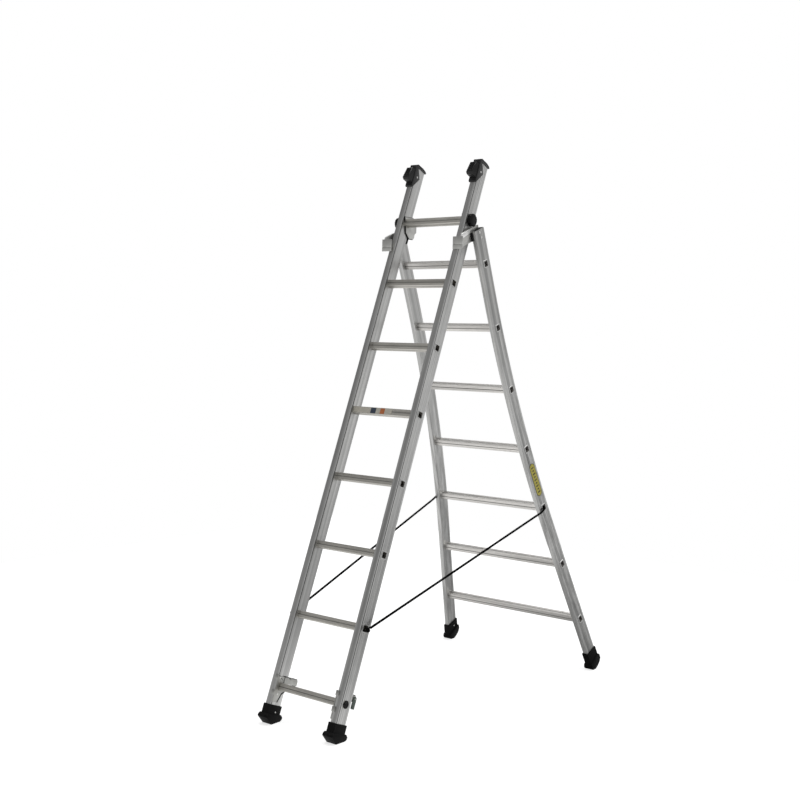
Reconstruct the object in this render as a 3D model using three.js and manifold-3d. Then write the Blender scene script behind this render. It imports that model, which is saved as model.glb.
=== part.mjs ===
// A two-section aluminium ladder standing open as a step ladder. Millimetres, +Z up.
// X runs along the rungs, Y from the front (sliding) section to the rear (base) section.
// The origin is on the floor, in the middle of the four feet.
import * as THREE from "three";
import { mergeVertices } from "three/addons/utils/BufferGeometryUtils.js";
import Module from "manifold-3d";

const wasm = await Module();
wasm.setup();

// ---- driving dimensions ------------------------------------------------------------------

const GAP = 0.3; // left between parts that touch
const WALL = 2;
const CORNER = 2.5;
const RUNG = { pitch: 280, size: 28, wall: 1.8, proud: 0.5, groove: 0.9 };

// Each section has its own frame: x across, y from its front face to its rear face, z up its stiles.
const FLY = {
  width: 350, thick: 26, depth: 61, lean: THREE.MathUtils.degToRad(20.9),
  rungs: 8, lowRung: 152, foot: 36, top: 2368, narrowing: { below: 30, slope: 0.12 },
};
const BASE = {
  width: 426, thick: 22, depth: 66, lean: THREE.MathUtils.degToRad(22.5),
  rungs: 7, lowRung: 245, foot: 12, top: 2071, narrowing: { below: 26, slope: 0.27 },
};
// Going down, the base stiles run parallel, bend outwards on an arc and then run straight again.
const FLARE = { top: 1786, bottom: 685, radius: 7000 };

const KNOB = { radius: 26, thick: 19.5 };
const FOOT_WALL = 4;
const FRONT_FLOOR_LINE = -808.6; // y where the front face of the sliding section meets the floor

// ---- derived dimensions ------------------------------------------------------------------

const fly = { half: FLY.width / 2, inner: FLY.width / 2 - FLY.thick, mid: FLY.depth / 2 };
const base = { half: BASE.width / 2, inner: BASE.width / 2 - BASE.thick, mid: BASE.depth / 2 };
const topRung = (section) => section.lowRung + (section.rungs - 1) * RUNG.pitch;

const knob = { z: topRung(FLY), y: fly.mid };
const knobHeight = knob.z * Math.cos(FLY.lean) - knob.y * Math.sin(FLY.lean);
// The knobs sit over the middle of the base stiles, in the base section's frame.
const seat = { y: base.mid, z: (knobHeight - base.mid * Math.sin(BASE.lean)) / Math.cos(BASE.lean) };
const knobDepth = FRONT_FLOOR_LINE + knob.z * Math.sin(FLY.lean) + knob.y * Math.cos(FLY.lean);
const REAR_FLOOR_LINE = knobDepth + seat.z * Math.sin(BASE.lean) - seat.y * Math.cos(BASE.lean);

// Folded shut, the sliding section lies in front of the base rungs, so the knobs have moved forward.
// One pivot takes the knobs from the open place to the shut one.
const foldAngle = FLY.lean + BASE.lean;
const rungClearance = 5;
const knobTravel = base.mid + (fly.mid + rungClearance + RUNG.size / 2 - base.mid);
const pivot = { y: seat.y - knobTravel / 2, z: seat.z - knobTravel / 2 / Math.tan(foldAngle / 2) };

const BRACKET = { bottom: 2030.5, top: seat.z - KNOB.radius - 0.5, front: -98.5, back: 58, plate: 5, pin: 4 };
const FLANGE = { inner: 156, outer: 204, height: 50, thick: 3.5, groove: 19 };
const HOOK = { plate: 5, top: 190, under: 166, back: 115 };
const LATCH = { y: 107, z: 178, pin: 4, thick: 5, half: 8, tip: 140 };

const COLOURS = {
  aluminium: { color: 0xb4b5b3, roughness: 0.38, metalness: 0.9 },
  rung: { color: 0xaaa9a3, roughness: 0.42, metalness: 0.9 },
  bracket: { color: 0xbdbdb8, roughness: 0.45, metalness: 0.85 },
  plastic: { color: 0x17181a, roughness: 0.55, metalness: 0 },
  rubber: { color: 0x101112, roughness: 0.8, metalness: 0 },
  cord: { color: 0x141414, roughness: 0.9, metalness: 0 },
};

// ---- solids ------------------------------------------------------------------------------

function solid(geometry) {
  const bare = new THREE.BufferGeometry().setAttribute("position", geometry.getAttribute("position"));
  if (geometry.index) bare.setIndex(geometry.index);
  const welded = mergeVertices(bare, 1e-4);
  return new wasm.Manifold(new wasm.Mesh({
    numProp: 3,
    vertProperties: new Float32Array(welded.attributes.position.array),
    triVerts: new Uint32Array(welded.index.array),
  }));
}

function geometryOf(manifold) {
  const mesh = manifold.getMesh();
  const geometry = new THREE.BufferGeometry();
  geometry.setAttribute("position", new THREE.BufferAttribute(new Float32Array(mesh.vertProperties), 3));
  geometry.setIndex(new THREE.BufferAttribute(new Uint32Array(mesh.triVerts), 1));
  const faceted = geometry.toNonIndexed();
  faceted.computeVertexNormals();
  return faceted;
}

function box(x0, x1, y0, y1, z0, z1) {
  const block = new THREE.BoxGeometry(x1 - x0, y1 - y0, z1 - z0);
  return solid(block.translate((x0 + x1) / 2, (y0 + y1) / 2, (z0 + z1) / 2));
}

const polygon = (points) => new THREE.Shape(points.map(([u, v]) => new THREE.Vector2(u, v)));

// A side outline in y and z, extruded across from x0 to x1.
function slab(shape, x0, x1) {
  const geometry = new THREE.ExtrudeGeometry(shape, { depth: x1 - x0, bevelEnabled: false, curveSegments: 1 });
  const [alongY, alongZ, alongX] = [[0, 1, 0], [0, 0, 1], [1, 0, 0]].map((v) => new THREE.Vector3(...v));
  geometry.applyMatrix4(new THREE.Matrix4().makeBasis(alongY, alongZ, alongX));
  return geometry.translate(x0, 0, 0);
}

// A round bar along x.
function bar(radius, x0, x1, y, z, sides = 32) {
  const geometry = new THREE.CylinderGeometry(radius, radius, x1 - x0, sides).rotateZ(Math.PI / 2);
  return geometry.translate((x0 + x1) / 2, y, z);
}

function roundedPath(path, x0, x1, y0, y1, radius) {
  path.moveTo(x0 + radius, y0);
  path.lineTo(x1 - radius, y0);
  path.absarc(x1 - radius, y0 + radius, radius, -Math.PI / 2, 0);
  path.lineTo(x1, y1 - radius);
  path.absarc(x1 - radius, y1 - radius, radius, 0, Math.PI / 2);
  path.lineTo(x0 + radius, y1);
  path.absarc(x0 + radius, y1 - radius, radius, Math.PI / 2, Math.PI);
  path.lineTo(x0, y0 + radius);
  path.absarc(x0 + radius, y0 + radius, radius, Math.PI, 1.5 * Math.PI);
  return path;
}

// ---- parts -------------------------------------------------------------------------------

// A stile's cross-section: a box with shallow grooves down its outer face, hollow and open-ended.
function stileSection(inner, outer, depth) {
  const shape = new THREE.Shape();
  const groove = { deep: 0.8, half: depth / 16, count: 3 };
  shape.moveTo(inner + CORNER, 0);
  shape.lineTo(outer - CORNER, 0);
  shape.absarc(outer - CORNER, CORNER, CORNER, -Math.PI / 2, 0);
  for (let i = 0; i < groove.count; i += 1) {
    const middle = (depth * (i + 1)) / (groove.count + 1);
    shape.lineTo(outer, middle - groove.half);
    shape.lineTo(outer - groove.deep, middle - groove.half + groove.deep);
    shape.lineTo(outer - groove.deep, middle + groove.half - groove.deep);
    shape.lineTo(outer, middle + groove.half);
  }
  shape.lineTo(outer, depth - CORNER);
  shape.absarc(outer - CORNER, depth - CORNER, CORNER, 0, Math.PI / 2);
  shape.lineTo(inner + CORNER, depth);
  shape.absarc(inner + CORNER, depth - CORNER, CORNER, Math.PI / 2, Math.PI);
  shape.lineTo(inner, CORNER);
  shape.absarc(inner + CORNER, CORNER, CORNER, Math.PI, 1.5 * Math.PI);
  shape.holes.push(roundedPath(new THREE.Path(), inner + WALL, outer - WALL, WALL, depth - WALL, 0.8));
  return shape;
}

function stile(section, frame, steps, bend) {
  const geometry = new THREE.ExtrudeGeometry(stileSection(frame.inner, frame.half, section.depth), {
    depth: section.top - section.foot, steps, bevelEnabled: false, curveSegments: 1,
  });
  geometry.translate(0, 0, section.foot);
  let body = solid(bend(geometry));
  const hole = RUNG.size / 2 + GAP;
  for (let i = 0; i < section.rungs; i += 1) {
    const z = section.lowRung + i * RUNG.pitch;
    const reach = [frame.inner - 10, frame.half + spread(section, 0)];
    const cut = box(...reach, frame.mid - hole, frame.mid + hole, z - hole, z + hole);
    body = body.subtract(cut);
  }
  return geometryOf(body);
}

// How far the stiles of a section have moved outwards at height z.
function spread(section, z) {
  if (section === FLY || z >= FLARE.top) return 0;
  const bent = FLARE.top - Math.max(z, FLARE.bottom);
  const straight = Math.max(FLARE.bottom - z, 0);
  return (bent * bent) / (2 * FLARE.radius) + (straight * (FLARE.top - FLARE.bottom)) / FLARE.radius;
}

function splay(geometry) {
  const position = geometry.getAttribute("position");
  for (let i = 0; i < position.count; i += 1) {
    position.setX(i, position.getX(i) + spread(BASE, position.getZ(i)));
  }
  return geometry;
}

// A rung: a square tube along x with grooves in its tread and its faces, cut flush with both stiles.
function rung(section, frame, z) {
  const r = RUNG.size / 2;
  const g = RUNG.groove;
  const side = [];
  for (const t of [-5.5, 5.5]) side.push([t - 1.6, 0], [t - 1.6 + g, g], [t + 1.6 - g, g], [t + 1.6, 0]);
  const outline = [];
  for (let quarter = 0; quarter < 4; quarter += 1) {
    const turn = (quarter * Math.PI) / 2;
    const points = [[-r + CORNER, 0], ...side, [r - CORNER, 0], [r - CORNER / 3, CORNER / 3]];
    for (const [u, v] of points) {
      const [x, y] = [u, -r + v];
      outline.push([x * Math.cos(turn) - y * Math.sin(turn), x * Math.sin(turn) + y * Math.cos(turn)]);
    }
  }
  const shape = polygon(outline);
  const bore = r - RUNG.wall;
  shape.holes.push(roundedPath(new THREE.Path(), -bore, bore, -bore, bore, 1.5));
  const reach = frame.half + spread(section, z) + RUNG.size;
  const tube = solid(slab(shape, -reach, reach).translate(0, frame.mid, z));
  const [low, high] = [z - RUNG.size, z + RUNG.size];
  const [wide, narrow] = [low, high].map((at) => frame.half + RUNG.proud + spread(section, at));
  const trim = new THREE.ExtrudeGeometry(
    polygon([[-wide, low], [wide, low], [narrow, high], [-narrow, high]]),
    { depth: 2 * section.depth, bevelEnabled: false },
  );
  return geometryOf(tube.intersect(solid(trim.rotateX(Math.PI / 2).translate(0, 1.5 * section.depth, 0))));
}

// The black cap on top of a sliding stile: side cheeks, a ribbed nose in front and a roof strap.
function topCap() {
  const [x0, x1] = [fly.inner - FOOT_WALL, fly.half + FOOT_WALL];
  const top = FLY.top;
  const cheek = polygon([
    [-6.5, top - 94], [0, top - 98], [34, top - 46], [9, top - 4], [4, top + 4], [-6.5, top + 4],
  ]);
  const roof = polygon([
    [-6.5, top - 2], [-5, top + 4], [4, top + 10.5], [42, top + 10.5], [60, top + 7], [67, top + 2],
    [67, top - 2], [62, top - 2],
  ]);
  const nose = polygon([[-40, top - 71], [-31, top - 78], [-5, top - 78], [-5, top - 20], [-28, top - 20]]);
  let body = solid(slab(cheek, x0, x1))
    .add(solid(slab(roof, x0 + 1, x1 - 1)))
    .add(solid(slab(nose, fly.inner - 2, fly.half + 2)));
  const slots = 3;
  for (let i = 0; i < slots; i += 1) {
    const x = fly.inner + (FLY.thick * (i + 1)) / (slots + 1);
    body = body.subtract(box(x - 1.5, x + 1.5, -42, -14, top - 70, top - 26));
  }
  return geometryOf(body.subtract(box(fly.inner - GAP, fly.half + GAP, -GAP, FLY.depth + GAP, 0, top + GAP)));
}

// A rubber foot: a sleeve round the end of the stile and a wider sole, flat on the floor. The outline
// runs from the front edge of the sleeve down, along the floor and up behind; each point gives y and z,
// or only y where it lies on the floor.
function foot(section, frame, outline) {
  const slope = Math.tan(section.lean) * (section === FLY ? 1 : -1);
  const sole = polygon(outline.map(([y, z]) => [y, z ?? y * slope]));
  const widen = 11;
  const sleeveTop = 81;
  const walls = [frame.inner - FOOT_WALL, frame.half + FOOT_WALL, -FOOT_WALL, section.depth + FOOT_WALL];
  const pocket = [frame.inner - GAP, frame.half + GAP, -GAP, section.depth + GAP];
  const make = (geometry) => solid(section === BASE ? splay(geometry) : geometry);
  const body = make(narrow(slab(sole, frame.inner - widen, frame.half + widen), section.narrowing))
    .add(make(boxGeometry(...walls, section.foot - 6, sleeveTop)));
  return geometryOf(body.subtract(make(boxGeometry(...pocket, section.foot - GAP, sleeveTop + 10))));
}

// Below a height, the outer side of a sole slopes inwards towards the floor.
function narrow(geometry, { below, slope }) {
  const position = geometry.getAttribute("position");
  geometry.computeBoundingBox();
  const outer = geometry.boundingBox.max.x;
  for (let i = 0; i < position.count; i += 1) {
    const drop = below - position.getZ(i);
    if (position.getX(i) > outer - GAP && drop > 0) position.setX(i, outer - drop * slope);
  }
  return geometry;
}

const FLY_SOLE = [[-4.5, 46], [-12, 38], [-12, 30], [24], [67], [74, 33], [76, 41], [65.5, 50]];
const BASE_SOLE = [
  [-4.5, 26], [-10, 17], [-9, 8], [1], [24], [48, -7], [66, 4], [75, 18], [73, 38], [70.5, 42],
];

function boxGeometry(x0, x1, y0, y1, z0, z1) {
  const block = new THREE.BoxGeometry(x1 - x0, y1 - y0, z1 - z0);
  return block.translate((x0 + x1) / 2, (y0 + y1) / 2, (z0 + z1) / 2);
}

// The black knob on the end of the top rung, which rests on the bracket when the ladder stands open.
function pivotKnob() {
  const inner = fly.half + RUNG.proud + GAP;
  const outer = fly.half + KNOB.thick;
  const dome = 4;
  const profile = [
    [0, inner], [KNOB.radius - 2, inner], [KNOB.radius, inner + 2], [KNOB.radius, outer - dome],
    [KNOB.radius - 2, outer - 1], [KNOB.radius - 7, outer], [0, outer],
  ].map(([r, x]) => new THREE.Vector2(r, x));
  const turned = new THREE.LatheGeometry(profile, 40).rotateZ(-Math.PI / 2);
  return geometryOf(solid(turned.translate(0, knob.y, knob.z)));
}

// The plate on the inner face of a sliding stile at the top rung, upright when the ladder stands open.
function apexPlate(x0, x1, grow) {
  const lean = FLY.lean;
  const outline = [
    [-15 - grow, 26 + grow], [44, 26 + grow], [64, -12], [64, -34], [52, -42], [50, -55], [43, -63 - grow],
    [16 - grow, -63 - grow], [-7 - grow, -40], [-10 - grow, 0],
  ].map(([y, z]) => [
    knob.y + y * Math.cos(lean) - z * Math.sin(lean),
    knob.z + y * Math.sin(lean) + z * Math.cos(lean),
  ]);
  const hole = RUNG.size / 2 + GAP;
  const plate = solid(slab(polygon(outline), x0, x1));
  return geometryOf(
    plate.subtract(box(x0 - 1, x1 + 1, knob.y - hole, knob.y + hole, knob.z - hole, knob.z + hole)),
  );
}

// The hook at the foot of the sliding section, which hangs on a base rung when the ladder is extended.
function rungHook() {
  const x1 = fly.inner - GAP;
  const x0 = x1 - HOOK.plate;
  const outline = polygon([
    [1, HOOK.top], [HOOK.back - 4, HOOK.top], [HOOK.back, HOOK.top - 4], [HOOK.back, HOOK.under],
    [FLY.depth + 1, HOOK.under], [FLY.depth - 3, 142],
    [38, 128], [24, 92], [1, 92],
  ]);
  let body = solid(slab(outline, x0, x1));
  for (const z of [186, 128]) {
    body = body.add(box(x0, x1 + 9, -4, -GAP - 0.2, z - 9, z + 9)).add(box(x0, x1, -4, 2, z - 9, z + 9));
  }
  body = body.add(box(x0 - 8, x1, FLY.depth + 4, LATCH.y - 12, HOOK.top - 4, HOOK.top));
  body = body.add(solid(bar(LATCH.pin, x1 - 1, x1 + LATCH.thick + 1, LATCH.y, LATCH.z, 20)));
  const hole = RUNG.size / 2 + GAP;
  const z = FLY.lowRung;
  return geometryOf(body.subtract(box(x0 - 10, x1 + 1, fly.mid - hole, fly.mid + hole, z - hole, z + hole)));
}

// The latch that hangs from the end of the hook's arm and keeps the base rung in the hook.
function hookLatch() {
  const x1 = fly.inner + LATCH.thick;
  const tongue = polygon([
    [LATCH.y - 10, LATCH.tip + 3], [LATCH.y - 7, LATCH.tip], [LATCH.y + 7, LATCH.tip],
    [LATCH.y + LATCH.half, LATCH.z], [LATCH.y - LATCH.half, LATCH.z], [LATCH.y - 10, LATCH.z - 14],
  ]);
  const body = solid(slab(tongue, x1 - LATCH.thick, x1))
    .add(solid(bar(LATCH.half, x1 - LATCH.thick, x1, LATCH.y, LATCH.z, 24)));
  return geometryOf(
    body.subtract(solid(bar(LATCH.pin + GAP, x1 - LATCH.thick - 1, x1 + 1, LATCH.y, LATCH.z, 20))),
  );
}

// The round plug in the end of the lowest sliding rung.
function rungPlug() {
  const x = fly.half + RUNG.proud + GAP;
  const profile = [[0, x], [15, x], [15, x + 1.5], [12, x + 3], [0, x + 3]].map(([r, h]) => new THREE.Vector2(r, h));
  const turned = new THREE.LatheGeometry(profile, 28).rotateZ(-Math.PI / 2);
  return geometryOf(solid(turned.translate(0, fly.mid, FLY.lowRung)));
}

// A point of the bracket's upright front: so far behind its front face and above its lower edge.
function upright(back, up) {
  const [sin, cos] = [Math.sin(BASE.lean), Math.cos(BASE.lean)];
  return [BRACKET.front + back * cos + up * sin, BRACKET.bottom - back * sin + up * cos];
}

// The bracket inside the top of a base stile: a plate whose upper edge carries the knob, with ribs above
// the end of the stile, and the pin of the guide shoe.
function bracket() {
  const outer = base.inner - GAP;
  const back = FLANGE.thick + GAP;
  const outline = polygon([
    upright(back, 0), upright(back, FLANGE.height), [-68, BRACKET.top], [BRACKET.back, BRACKET.top],
    [BRACKET.back, BRACKET.bottom], [BRACKET.front + 20, BRACKET.bottom],
  ]);
  let body = solid(slab(outline, outer - BRACKET.plate, outer));
  body = body.add(solid(bar(BRACKET.pin, fly.half + 2.5, outer, pivot.y, pivot.z, 28)));
  const ribs = 3;
  for (let i = 0; i < ribs; i += 1) {
    const y = BRACKET.back - 3 - i * 9;
    body = body.add(box(outer - 1, outer + 3, y - 2, y + 2, BASE.top + GAP, BRACKET.top));
  }
  return geometryOf(body);
}

// The bracket's front flange, upright when the ladder stands open, which stops the sliding section from
// swinging further: an upper tab and a lower one, with a groove between them.
function flange() {
  const { thick, height, groove } = FLANGE;
  const outline = polygon([
    upright(thick, 0), upright(thick, height), upright(0, height), upright(0, groove + 1.5),
    upright(1.5, groove), upright(0, groove - 1.5), upright(0, 0),
  ]);
  return slab(outline, FLANGE.inner, FLANGE.outer);
}

function bracketPad() {
  return boxGeometry(base.inner, base.inner + 6, -6 - GAP, -GAP, BRACKET.bottom, BASE.top - 5);
}

// The shoe that turns on the bracket's pin and guides the sliding stile: a disc beside the stile and a
// block behind it. Drawn in the sliding section's frame.
function guideShoe(pin) {
  const x0 = fly.half + 2 * GAP;
  const x1 = base.inner - BRACKET.plate - 2 * GAP;
  const block = box(
    fly.inner + 1, fly.half + 4, FLY.depth + 2 * GAP, FLY.depth + 12, pin.z - 13, pin.z + 13,
  );
  const disc = solid(bar(13.2, x0, x1, pin.y, pin.z, 40));
  return geometryOf(disc.add(block).subtract(solid(bar(BRACKET.pin + GAP, x0 - 1, x1 + 1, pin.y, pin.z, 28))));
}

// ---- cords -------------------------------------------------------------------------------

const CORD = { diameter: 9, knot: 12 };

// The right-hand cord's points: out of the base rung, round the edge of its end, forward along a taut
// straight line to the knot on the sliding section.
const CORD_ROUTE = [
  [262, 473.6, 756.6], [270, 473.6, 756.6], [277, 473.2, 756.2], [283.4, 471.2, 755], [287.8, 466.2, 752.2],
  [289.8, 458, 747.5], [290, 447, 741.5], [289, 432, 735], [283.9, 380, 718.2], [274.6, 280, 685.8],
  [265.2, 180, 653.5], [255.8, 80, 621.2], [246.5, -20, 588.8], [237.1, -120, 556.5], [227.7, -220, 524.1],
  [218.4, -320, 491.8], [209, -420, 459.5], [199.6, -520, 427.1], [193.1, -590, 404.5], [190.8, -614.4, 396.6],
];

function cord() {
  const path = new THREE.CatmullRomCurve3(CORD_ROUTE.map((p) => new THREE.Vector3(...p)), false, "centripetal");
  const round = new THREE.Shape().absarc(0, 0, CORD.diameter / 2, 0, 2 * Math.PI);
  return new THREE.ExtrudeGeometry(round, {
    steps: Math.round(path.getLength() / (2 * CORD.diameter)), extrudePath: path, curveSegments: 5,
  });
}

// ---- assembly ----------------------------------------------------------------------------

function named(name, geometry, finish, parent, left = false) {
  const mesh = new THREE.Mesh(geometry, new THREE.MeshStandardMaterial(COLOURS[finish]));
  mesh.name = name;
  if (left) mesh.scale.x = -1;
  parent.add(mesh);
}

// One part on the right and its mirror image on the left.
function pair(name, geometry, finish, parent) {
  named(name + "_right", geometry, finish, parent);
  named(name + "_left", geometry, finish, parent, true);
}

const ladder = new THREE.Group();
const flyGroup = new THREE.Group();
flyGroup.position.y = FRONT_FLOOR_LINE;
flyGroup.rotation.x = -FLY.lean;
const baseGroup = new THREE.Group();
baseGroup.position.y = REAR_FLOOR_LINE;
baseGroup.rotation.x = BASE.lean;
ladder.add(flyGroup, baseGroup);

pair("fly_stile", stile(FLY, fly, 1, (geometry) => geometry), "aluminium", flyGroup);
pair("base_stile", stile(BASE, base, 14, splay), "aluminium", baseGroup);
for (const [name, section, frame, group] of [["fly", FLY, fly, flyGroup], ["base", BASE, base, baseGroup]]) {
  for (let i = 0; i < section.rungs; i += 1) {
    const z = topRung(section) - i * RUNG.pitch;
    named(name + "_rung_" + (i + 1), rung(section, frame, z), "rung", group);
  }
}
pair("fly_foot", foot(FLY, fly, FLY_SOLE), "rubber", flyGroup);
pair("base_foot", foot(BASE, base, BASE_SOLE), "rubber", baseGroup);
pair("top_cap", topCap(), "plastic", flyGroup);
pair("pivot_knob", pivotKnob(), "plastic", flyGroup);
pair("apex_pad", apexPlate(fly.inner - 3 - GAP, fly.inner - GAP, 2.5), "plastic", flyGroup);
pair("apex_plate", apexPlate(fly.inner - 6 - 2 * GAP, fly.inner - 3 - 2 * GAP, 0), "bracket", flyGroup);
pair("rung_hook", rungHook(), "bracket", flyGroup);
pair("hook_latch", hookLatch(), "plastic", flyGroup);
pair("rung_plug", rungPlug(), "plastic", flyGroup);
pair("base_bracket", bracket(), "bracket", baseGroup);
pair("bracket_flange", flange(), "bracket", baseGroup);
pair("bracket_pad", bracketPad(), "plastic", baseGroup);

// The bracket's pin, seen from the sliding section's frame.
const pinPoint = new THREE.Vector3(0, pivot.y, pivot.z);
ladder.updateMatrixWorld(true);
const pinInFly = flyGroup.worldToLocal(baseGroup.localToWorld(pinPoint.clone()));
pair("guide_shoe", guideShoe(pinInFly), "plastic", flyGroup);

const knotPlace = { x: fly.half + RUNG.proud + GAP + CORD.knot, z: FLY.lowRung + RUNG.pitch };
const knot = new THREE.SphereGeometry(CORD.knot, 14, 10).translate(knotPlace.x, fly.mid, knotPlace.z);
pair("cord_knot", geometryOf(solid(knot)), "cord", flyGroup);
pair("cord", cord(), "cord", ladder);

export default ladder;
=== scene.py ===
import math

import bmesh
import bpy
from mathutils import Matrix, Vector


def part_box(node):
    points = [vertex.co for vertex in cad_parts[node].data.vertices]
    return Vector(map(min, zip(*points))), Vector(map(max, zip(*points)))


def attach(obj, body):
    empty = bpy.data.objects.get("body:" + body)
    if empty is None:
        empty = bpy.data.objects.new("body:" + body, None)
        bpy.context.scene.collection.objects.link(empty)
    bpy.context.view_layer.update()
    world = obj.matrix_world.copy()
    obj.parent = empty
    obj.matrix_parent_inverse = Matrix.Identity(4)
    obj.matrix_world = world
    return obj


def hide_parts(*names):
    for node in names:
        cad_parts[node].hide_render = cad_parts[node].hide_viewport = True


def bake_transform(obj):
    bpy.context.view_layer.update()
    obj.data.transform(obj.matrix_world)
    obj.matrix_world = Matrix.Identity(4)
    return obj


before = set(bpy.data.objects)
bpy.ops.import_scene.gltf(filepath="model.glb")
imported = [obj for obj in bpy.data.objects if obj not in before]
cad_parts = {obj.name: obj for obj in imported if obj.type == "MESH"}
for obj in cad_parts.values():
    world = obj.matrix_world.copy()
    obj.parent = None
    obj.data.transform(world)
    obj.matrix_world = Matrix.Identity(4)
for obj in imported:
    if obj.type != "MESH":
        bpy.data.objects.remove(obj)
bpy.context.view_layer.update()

# ---- driving dimensions -------------------------------------------------------------------

VIEW = {"azimuth": 37.24, "down": 2.49, "roll": 1.83, "distance": 4.762, "lens": 50.95, "sensor": 36}
VIEW_AIM = Vector((-0.113, -0.079, 1.217))

PITCH = 0.280
RUNG = {"size": 0.028, "wall": 0.0018, "proud": 0.0005, "corner": 0.002}
FLY = {"depth": 0.061, "thick": 0.026, "low": 0.152, "foot": 0.036, "top": 2.368, "count": 8}
BASE = {"depth": 0.066, "thick": 0.022, "low": 0.245, "foot": 0.012, "top": 2.071, "count": 7}
FLARE = {"top": 1.786, "bottom": 0.685, "radius": 7.0}
STILE_WALL = 0.002
CORNER = 0.0025
EDGE_GROOVE = {"middle": 0.0055, "half": 0.0022, "deep": 0.0014}
# Across the sides of a stile: where each shallow groove lies and how wide it is, as shares of the depth.
SHALLOW_GROOVES = {"at": (0.24, 0.42, 0.60, 0.78), "half": 1 / 26, "deep": 0.45}
RUNG_GROOVE = {"half": 0.0022, "deep": 0.0013, "beside": 0.0075}
CORD_DIAMETER = 0.009
CORD_STEPS = 6  # lengths of a cord from one point of its route to the next
KNOT = {"cord": 0.0072, "high": 0.0028, "wide": 0.0042, "steps": 72}

SIDES = {"right": 1, "left": -1}


def lowest(node):
    return Vector(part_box(node)[0])


def highest(node):
    return Vector(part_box(node)[1])


def middle(node):
    return (lowest(node) + highest(node)) / 2


class Section:
    """One of the two ladder sections: x across, y back from its front face, z up its stiles."""

    def __init__(self, name, body, sizes):
        self.name = name
        self.body = body
        self.depth = sizes["depth"]
        self.thick = sizes["thick"]
        self.low = sizes["low"]
        self.foot = sizes["foot"]
        self.top = sizes["top"]
        self.count = sizes["count"]
        self.half = highest(name + "_rung_1").x - RUNG["proud"]
        self.inner = self.half - self.thick
        bottom = middle(f"{name}_rung_{self.count}")
        self.up = (middle(name + "_rung_1") - bottom).normalized()
        self.back = Vector((0, self.up.z, -self.up.y))
        self.origin = bottom - self.up * self.low - self.back * self.depth / 2
        self.lean = math.atan2(self.up.y, self.up.z)

    def place(self, x, y, z):
        return Vector((x + self.spread(z), 0, 0)) + self.level(0, y, z)

    def level(self, x, y, z):
        return self.origin + Vector((x, 0, 0)) + self.back * y + self.up * z

    def spread(self, z):
        """How far the stiles have moved outwards at height z."""
        if self.name == "fly" or z >= FLARE["top"]:
            return 0
        bent = FLARE["top"] - max(z, FLARE["bottom"])
        straight = max(FLARE["bottom"] - z, 0)
        slope = (FLARE["top"] - FLARE["bottom"]) / FLARE["radius"]
        return bent * bent / (2 * FLARE["radius"]) + straight * slope

    def rung_height(self, number):
        return self.low + (self.count - number) * PITCH


fly = Section("fly", "sliding_section", FLY)
base = Section("base", "base_section", BASE)


# ---- camera -------------------------------------------------------------------------------


def make_camera():
    azimuth = math.radians(VIEW["azimuth"])
    down = math.radians(VIEW["down"])
    level = Vector((-math.sin(azimuth), math.cos(azimuth), 0))
    forward = level * math.cos(down) - Vector((0, 0, math.sin(down)))
    data = bpy.data.cameras.new("camera")
    data.lens = VIEW["lens"]
    data.sensor_width = VIEW["sensor"]
    camera = bpy.data.objects.new("camera", data)
    upright = forward.to_track_quat("-Z", "Y").to_matrix()
    rolled = upright @ Matrix.Rotation(math.radians(VIEW["roll"]), 3, "Z")
    camera.matrix_world = Matrix.Translation(VIEW_AIM - forward * VIEW["distance"]) @ rolled.to_4x4()
    bpy.context.collection.objects.link(camera)
    bpy.context.scene.camera = camera


make_camera()

# ---- mesh helpers -------------------------------------------------------------------------

WELD = {"new": 1e-6, "cad": 2e-5}  # points nearer than this are joined
FLAT = 2  # degrees between faces that are made one
SHARP = {"plain": 35, "bevelled": 50, "cord": 60}  # degrees beyond which an edge isn't smoothed
BEVEL_SEGMENTS = 2


def piece_from(name, mesh_builder, finish):
    """A new object whose mesh the builder fills in, smooth except at its sharp edges."""
    mesh = bpy.data.meshes.new(name)
    shape = bmesh.new()
    mesh_builder(shape)
    bmesh.ops.remove_doubles(shape, verts=shape.verts, dist=WELD["new"])
    bmesh.ops.dissolve_degenerate(shape, edges=shape.edges, dist=WELD["new"])
    bmesh.ops.recalc_face_normals(shape, faces=shape.faces)
    shape.to_mesh(mesh)
    shape.free()
    mesh.materials.append(finish)
    piece = bpy.data.objects.new(name, mesh)
    bpy.context.collection.objects.link(piece)
    smooth(piece, SHARP["plain"])
    return piece


def smooth(piece, sharp):
    piece.data.shade_smooth()
    piece.data.set_sharp_from_angle(angle=math.radians(sharp))


def apply_modifiers(piece):
    evaluated = piece.evaluated_get(bpy.context.evaluated_depsgraph_get())
    finished = bpy.data.meshes.new_from_object(evaluated)
    piece.modifiers.clear()
    piece.data = finished


def bevel(piece, width, angle=30):
    modifier = piece.modifiers.new("bevel", "BEVEL")
    modifier.width = width
    modifier.segments = BEVEL_SEGMENTS
    modifier.limit_method = "ANGLE"
    modifier.angle_limit = math.radians(angle)
    apply_modifiers(piece)
    smooth(piece, SHARP["bevelled"])


def cut(piece, cutter):
    modifier = piece.modifiers.new("cut", "BOOLEAN")
    modifier.operation = "DIFFERENCE"
    modifier.solver = "EXACT"
    modifier.object = cutter
    apply_modifiers(piece)
    bpy.data.objects.remove(cutter)
    smooth(piece, SHARP["plain"])


def loft(shape, rings, closed_ends=True):
    """Faces between rings of points that have the same count, with the ends closed."""
    rows = [[shape.verts.new(point) for point in ring] for ring in rings]
    for row, following in zip(rows, rows[1:]):
        for i in range(len(row)):
            j = (i + 1) % len(row)
            shape.faces.new((row[i], row[j], following[j], following[i]))
    if closed_ends:
        shape.faces.new(rows[0])
        shape.faces.new(list(reversed(rows[-1])))
    return rows


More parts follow.
